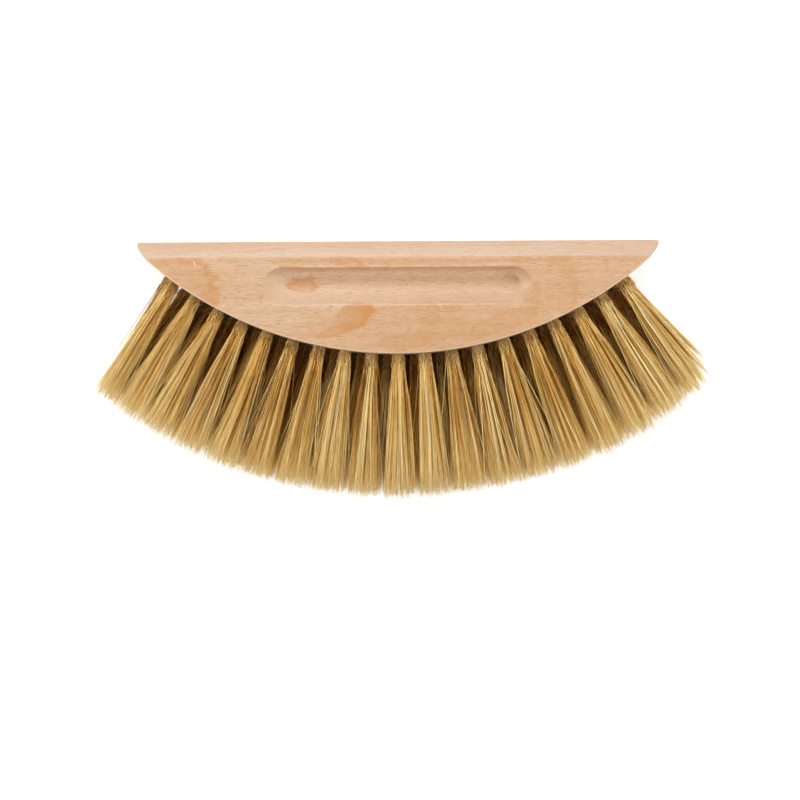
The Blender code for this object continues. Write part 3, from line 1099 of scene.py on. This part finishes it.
# How a hair's tone rises from its root to its tip; the rise at the tip is partly painted light of thin tips
# glowing against the white floor
root_drop, tip_rise = -0.23, 0.29
rise = [(0.27, 0.0), (0.65, 0.43), (0.75, 0.43), (1.0, 1.0)]
# Dust at the root, and straw with painted glow at the tip: start and end along the hair, strength at each
dusty, straw_and_glow = (0.30, 0.62, 0.40, 0.0), (0.78, 1.0, 0.0, 0.40)
bristle_roughness, wire_roughness = (0.34, 0.54), (0.28, 0.48)
tin_greys = [(0.3, (0.42, 0.42, 0.41, 1)), (0.7, (0.66, 0.66, 0.65, 1))]


def make_bristle():
    material, tree, shader = new_material("bristle", 0.42, 0.38)
    shader.inputs["Specular Tint"].default_value = bristle_sheen
    tone = add_node(tree, "Attribute", {"attribute_name": "tone"}).outputs["Fac"]
    along = add_node(tree, "Attribute", {"attribute_name": "along"}).outputs["Fac"]
    coordinates = add_node(tree, "TexCoord").outputs["Object"]
    mottle = noise(tree, coordinates, (420, 420, 420), detail=2)
    tone = maths(tree, "ADD", tone, push(tree, mottle, mottle_strength))
    tone = maths(tree, "ADD", tone, fade(tree, ramp(tree, along, rise), 0.0, 1.0, root_drop, tip_rise))
    # The tips lighten: partly their own paler colour, partly a painted glow.
    colour = blend_in(tree, ramp(tree, tone, hair_colours), tip_straw_and_glow, fade(tree, along, *straw_and_glow))
    colour = blend_in(tree, colour, root_dust, fade(tree, along, *dusty))
    scales = noise(tree, coordinates, (1500, 1500, 1500), detail=1)
    dress(tree, shader, colour, mottle, bristle_roughness, Strength=0.25, Distance=0.00003, Height=scales)
    return material


def make_tinned_wire():
    material, tree, shader = new_material("tinned_wire", 0.38, 0.5)
    shader.inputs["Metallic"].default_value = 1.0
    drawn = noise(tree, add_node(tree, "TexCoord").outputs["Object"], (900, 900, 4000), detail=3)
    dress(tree, shader, ramp(tree, drawn, tin_greys), drawn, wire_roughness)
    return material


bristle, tinned_wire = make_bristle(), make_tinned_wire()
for tuft in tufts:
    tuft.data.materials.clear()
    tuft.data.materials.append(bristle)
    tuft.data.materials.append(tinned_wire)
print("bristle:", len(bristle.node_tree.nodes), "nodes; wire:", len(tinned_wire.node_tree.nodes), "nodes")

# %% [markdown]
# ## Floor and light
#
# The brush lies on a white table under large soft lamps: the strongest beyond the straight edge, one at
# either end and a weak one beyond the tips. They stand low, so that little light falls straight down between
# the tufts, where the photograph is almost black. The floor is a real surface that takes the shadow. A glow
# that only the camera and reflections see lifts its white, so that no extra light is needed on the brush. It
# grows with the distance, and is left out under the fan of tufts, where it would show in every gap.

# %% Floor, lamps and sky
floor_size = 6.0
floor_white = 0.92
near_glow, far_glow = 0.42, 0.95
glow_reach = (0.4, 1.8)
# Where the glow comes back around the fan of tufts: beyond the arc, past its ends, near the straight edge
fan_reach = (arc_radius + 0.020, arc_radius + 0.045)
fan_slant = (tan(radians(37.2)), tan(radians(39.0)))
fan_top = (edge_y - 0.020, edge_y - 0.010)
sky_level = 0.10
# Each lamp: place, width, depth, watts
lamps = {
    "beyond_straight_edge": ((-0.05, 1.05, 0.82), 1.2, 0.6, 11.2),
    "beyond_left_end": ((-1.05, -0.05, 0.72), 0.9, 0.6, 10.3),
    "beyond_right_end": ((1.05, -0.05, 0.72), 0.9, 0.6, 9.5),
    "beyond_tips": ((-0.10, -1.00, 0.62), 1.2, 0.5, 3.0),
}


def make_floor_material():
    material, tree, shader = new_material("floor_white", 0.85, 0.1)
    shader.inputs["Base Color"].default_value = (floor_white, floor_white, floor_white, 1)
    light_path = add_node(tree, "LightPath").outputs
    seen = maths(tree, "MAXIMUM", light_path["Is Camera Ray"], light_path["Is Glossy Ray"])
    coordinates = add_node(tree, "TexCoord").outputs["Object"]
    glow = fade(tree, length_of(tree, coordinates), *glow_reach, near_glow, far_glow)

    off_arc = add_node(tree, "VectorMath", {"operation": "DISTANCE"}, Vector=coordinates)
    off_arc.inputs[1].default_value = arc_centre
    place = axes(tree, coordinates)
    below_centre = maths(tree, "SUBTRACT", arc_centre.y, place["Y"])
    slant = maths(tree, "DIVIDE", distance(tree, place["X"]), below_centre)
    covered = product(tree, fade(tree, off_arc.outputs["Value"], *fan_reach, 1.0, 0.0),
                      fade(tree, slant, *fan_slant, 1.0, 0.0), fade(tree, place["Y"], *fan_top, 1.0, 0.0))
    shader.inputs["Emission Color"].default_value = (1, 1, 1, 1)
    plug_in(tree, shader.inputs["Emission Strength"],
            product(tree, seen, glow, maths(tree, "SUBTRACT", 1.0, covered)))
    return material


bm = bmesh.new()
bmesh.ops.create_grid(bm, x_segments=1, y_segments=1, size=floor_size / 2)
floor = new_object("floor", mesh_from(bm, "floor"))
floor.data.materials.append(make_floor_material())

for name, (place, width, depth, watts) in lamps.items():
    lamp = bpy.data.lights.new(name, "AREA")
    lamp.shape, lamp.size, lamp.size_y, lamp.energy = "RECTANGLE", width, depth, watts
    lamp_object = new_object(name, lamp)
    lamp_object.location = place
    lamp_object.rotation_euler = (-Vector(place)).to_track_quat("-Z", "Y").to_euler()

sky = bpy.data.worlds.new("sky")
sky.use_nodes = True
bpy.context.scene.world = sky
rays = add_node(sky.node_tree, "LightPath").outputs
seen = maths(sky.node_tree, "MAXIMUM", rays["Is Camera Ray"], rays["Is Transmission Ray"])
background = sky.node_tree.nodes["Background"]
background.inputs["Color"].default_value = (1, 1, 1, 1)
plug_in(sky.node_tree, background.inputs["Strength"], fade(sky.node_tree, seen, 0.0, 1.0, sky_level, 1.0))
print(len(lamps), "lamps and a sky of", sky_level)

# %% [markdown]
# ## Camera
#
# The photograph was taken from straight above the front face, from about three quarters of a metre. The
# picture is square and shows 0.425 m at the height of that face. The brush lies a third of a degree askew in
# it, so the camera is rolled by as much.

# %% Camera
camera_distance = 0.75
picture_width = 0.4250
picture_middle = (0.0007, -0.0180)
camera_roll = radians(-0.32)

camera_data = bpy.data.cameras.new("camera")
camera_data.lens = camera_data.sensor_width * camera_distance / picture_width
camera = new_object("camera", camera_data)
camera.location = (*picture_middle, block_thickness + camera_distance)
camera.rotation_euler = (0, 0, camera_roll)
bpy.context.scene.camera = camera
bpy.context.scene.view_settings.view_transform = "Standard"
print(f"lens {camera_data.lens:.1f} mm at {camera.location.z:.3f} m")
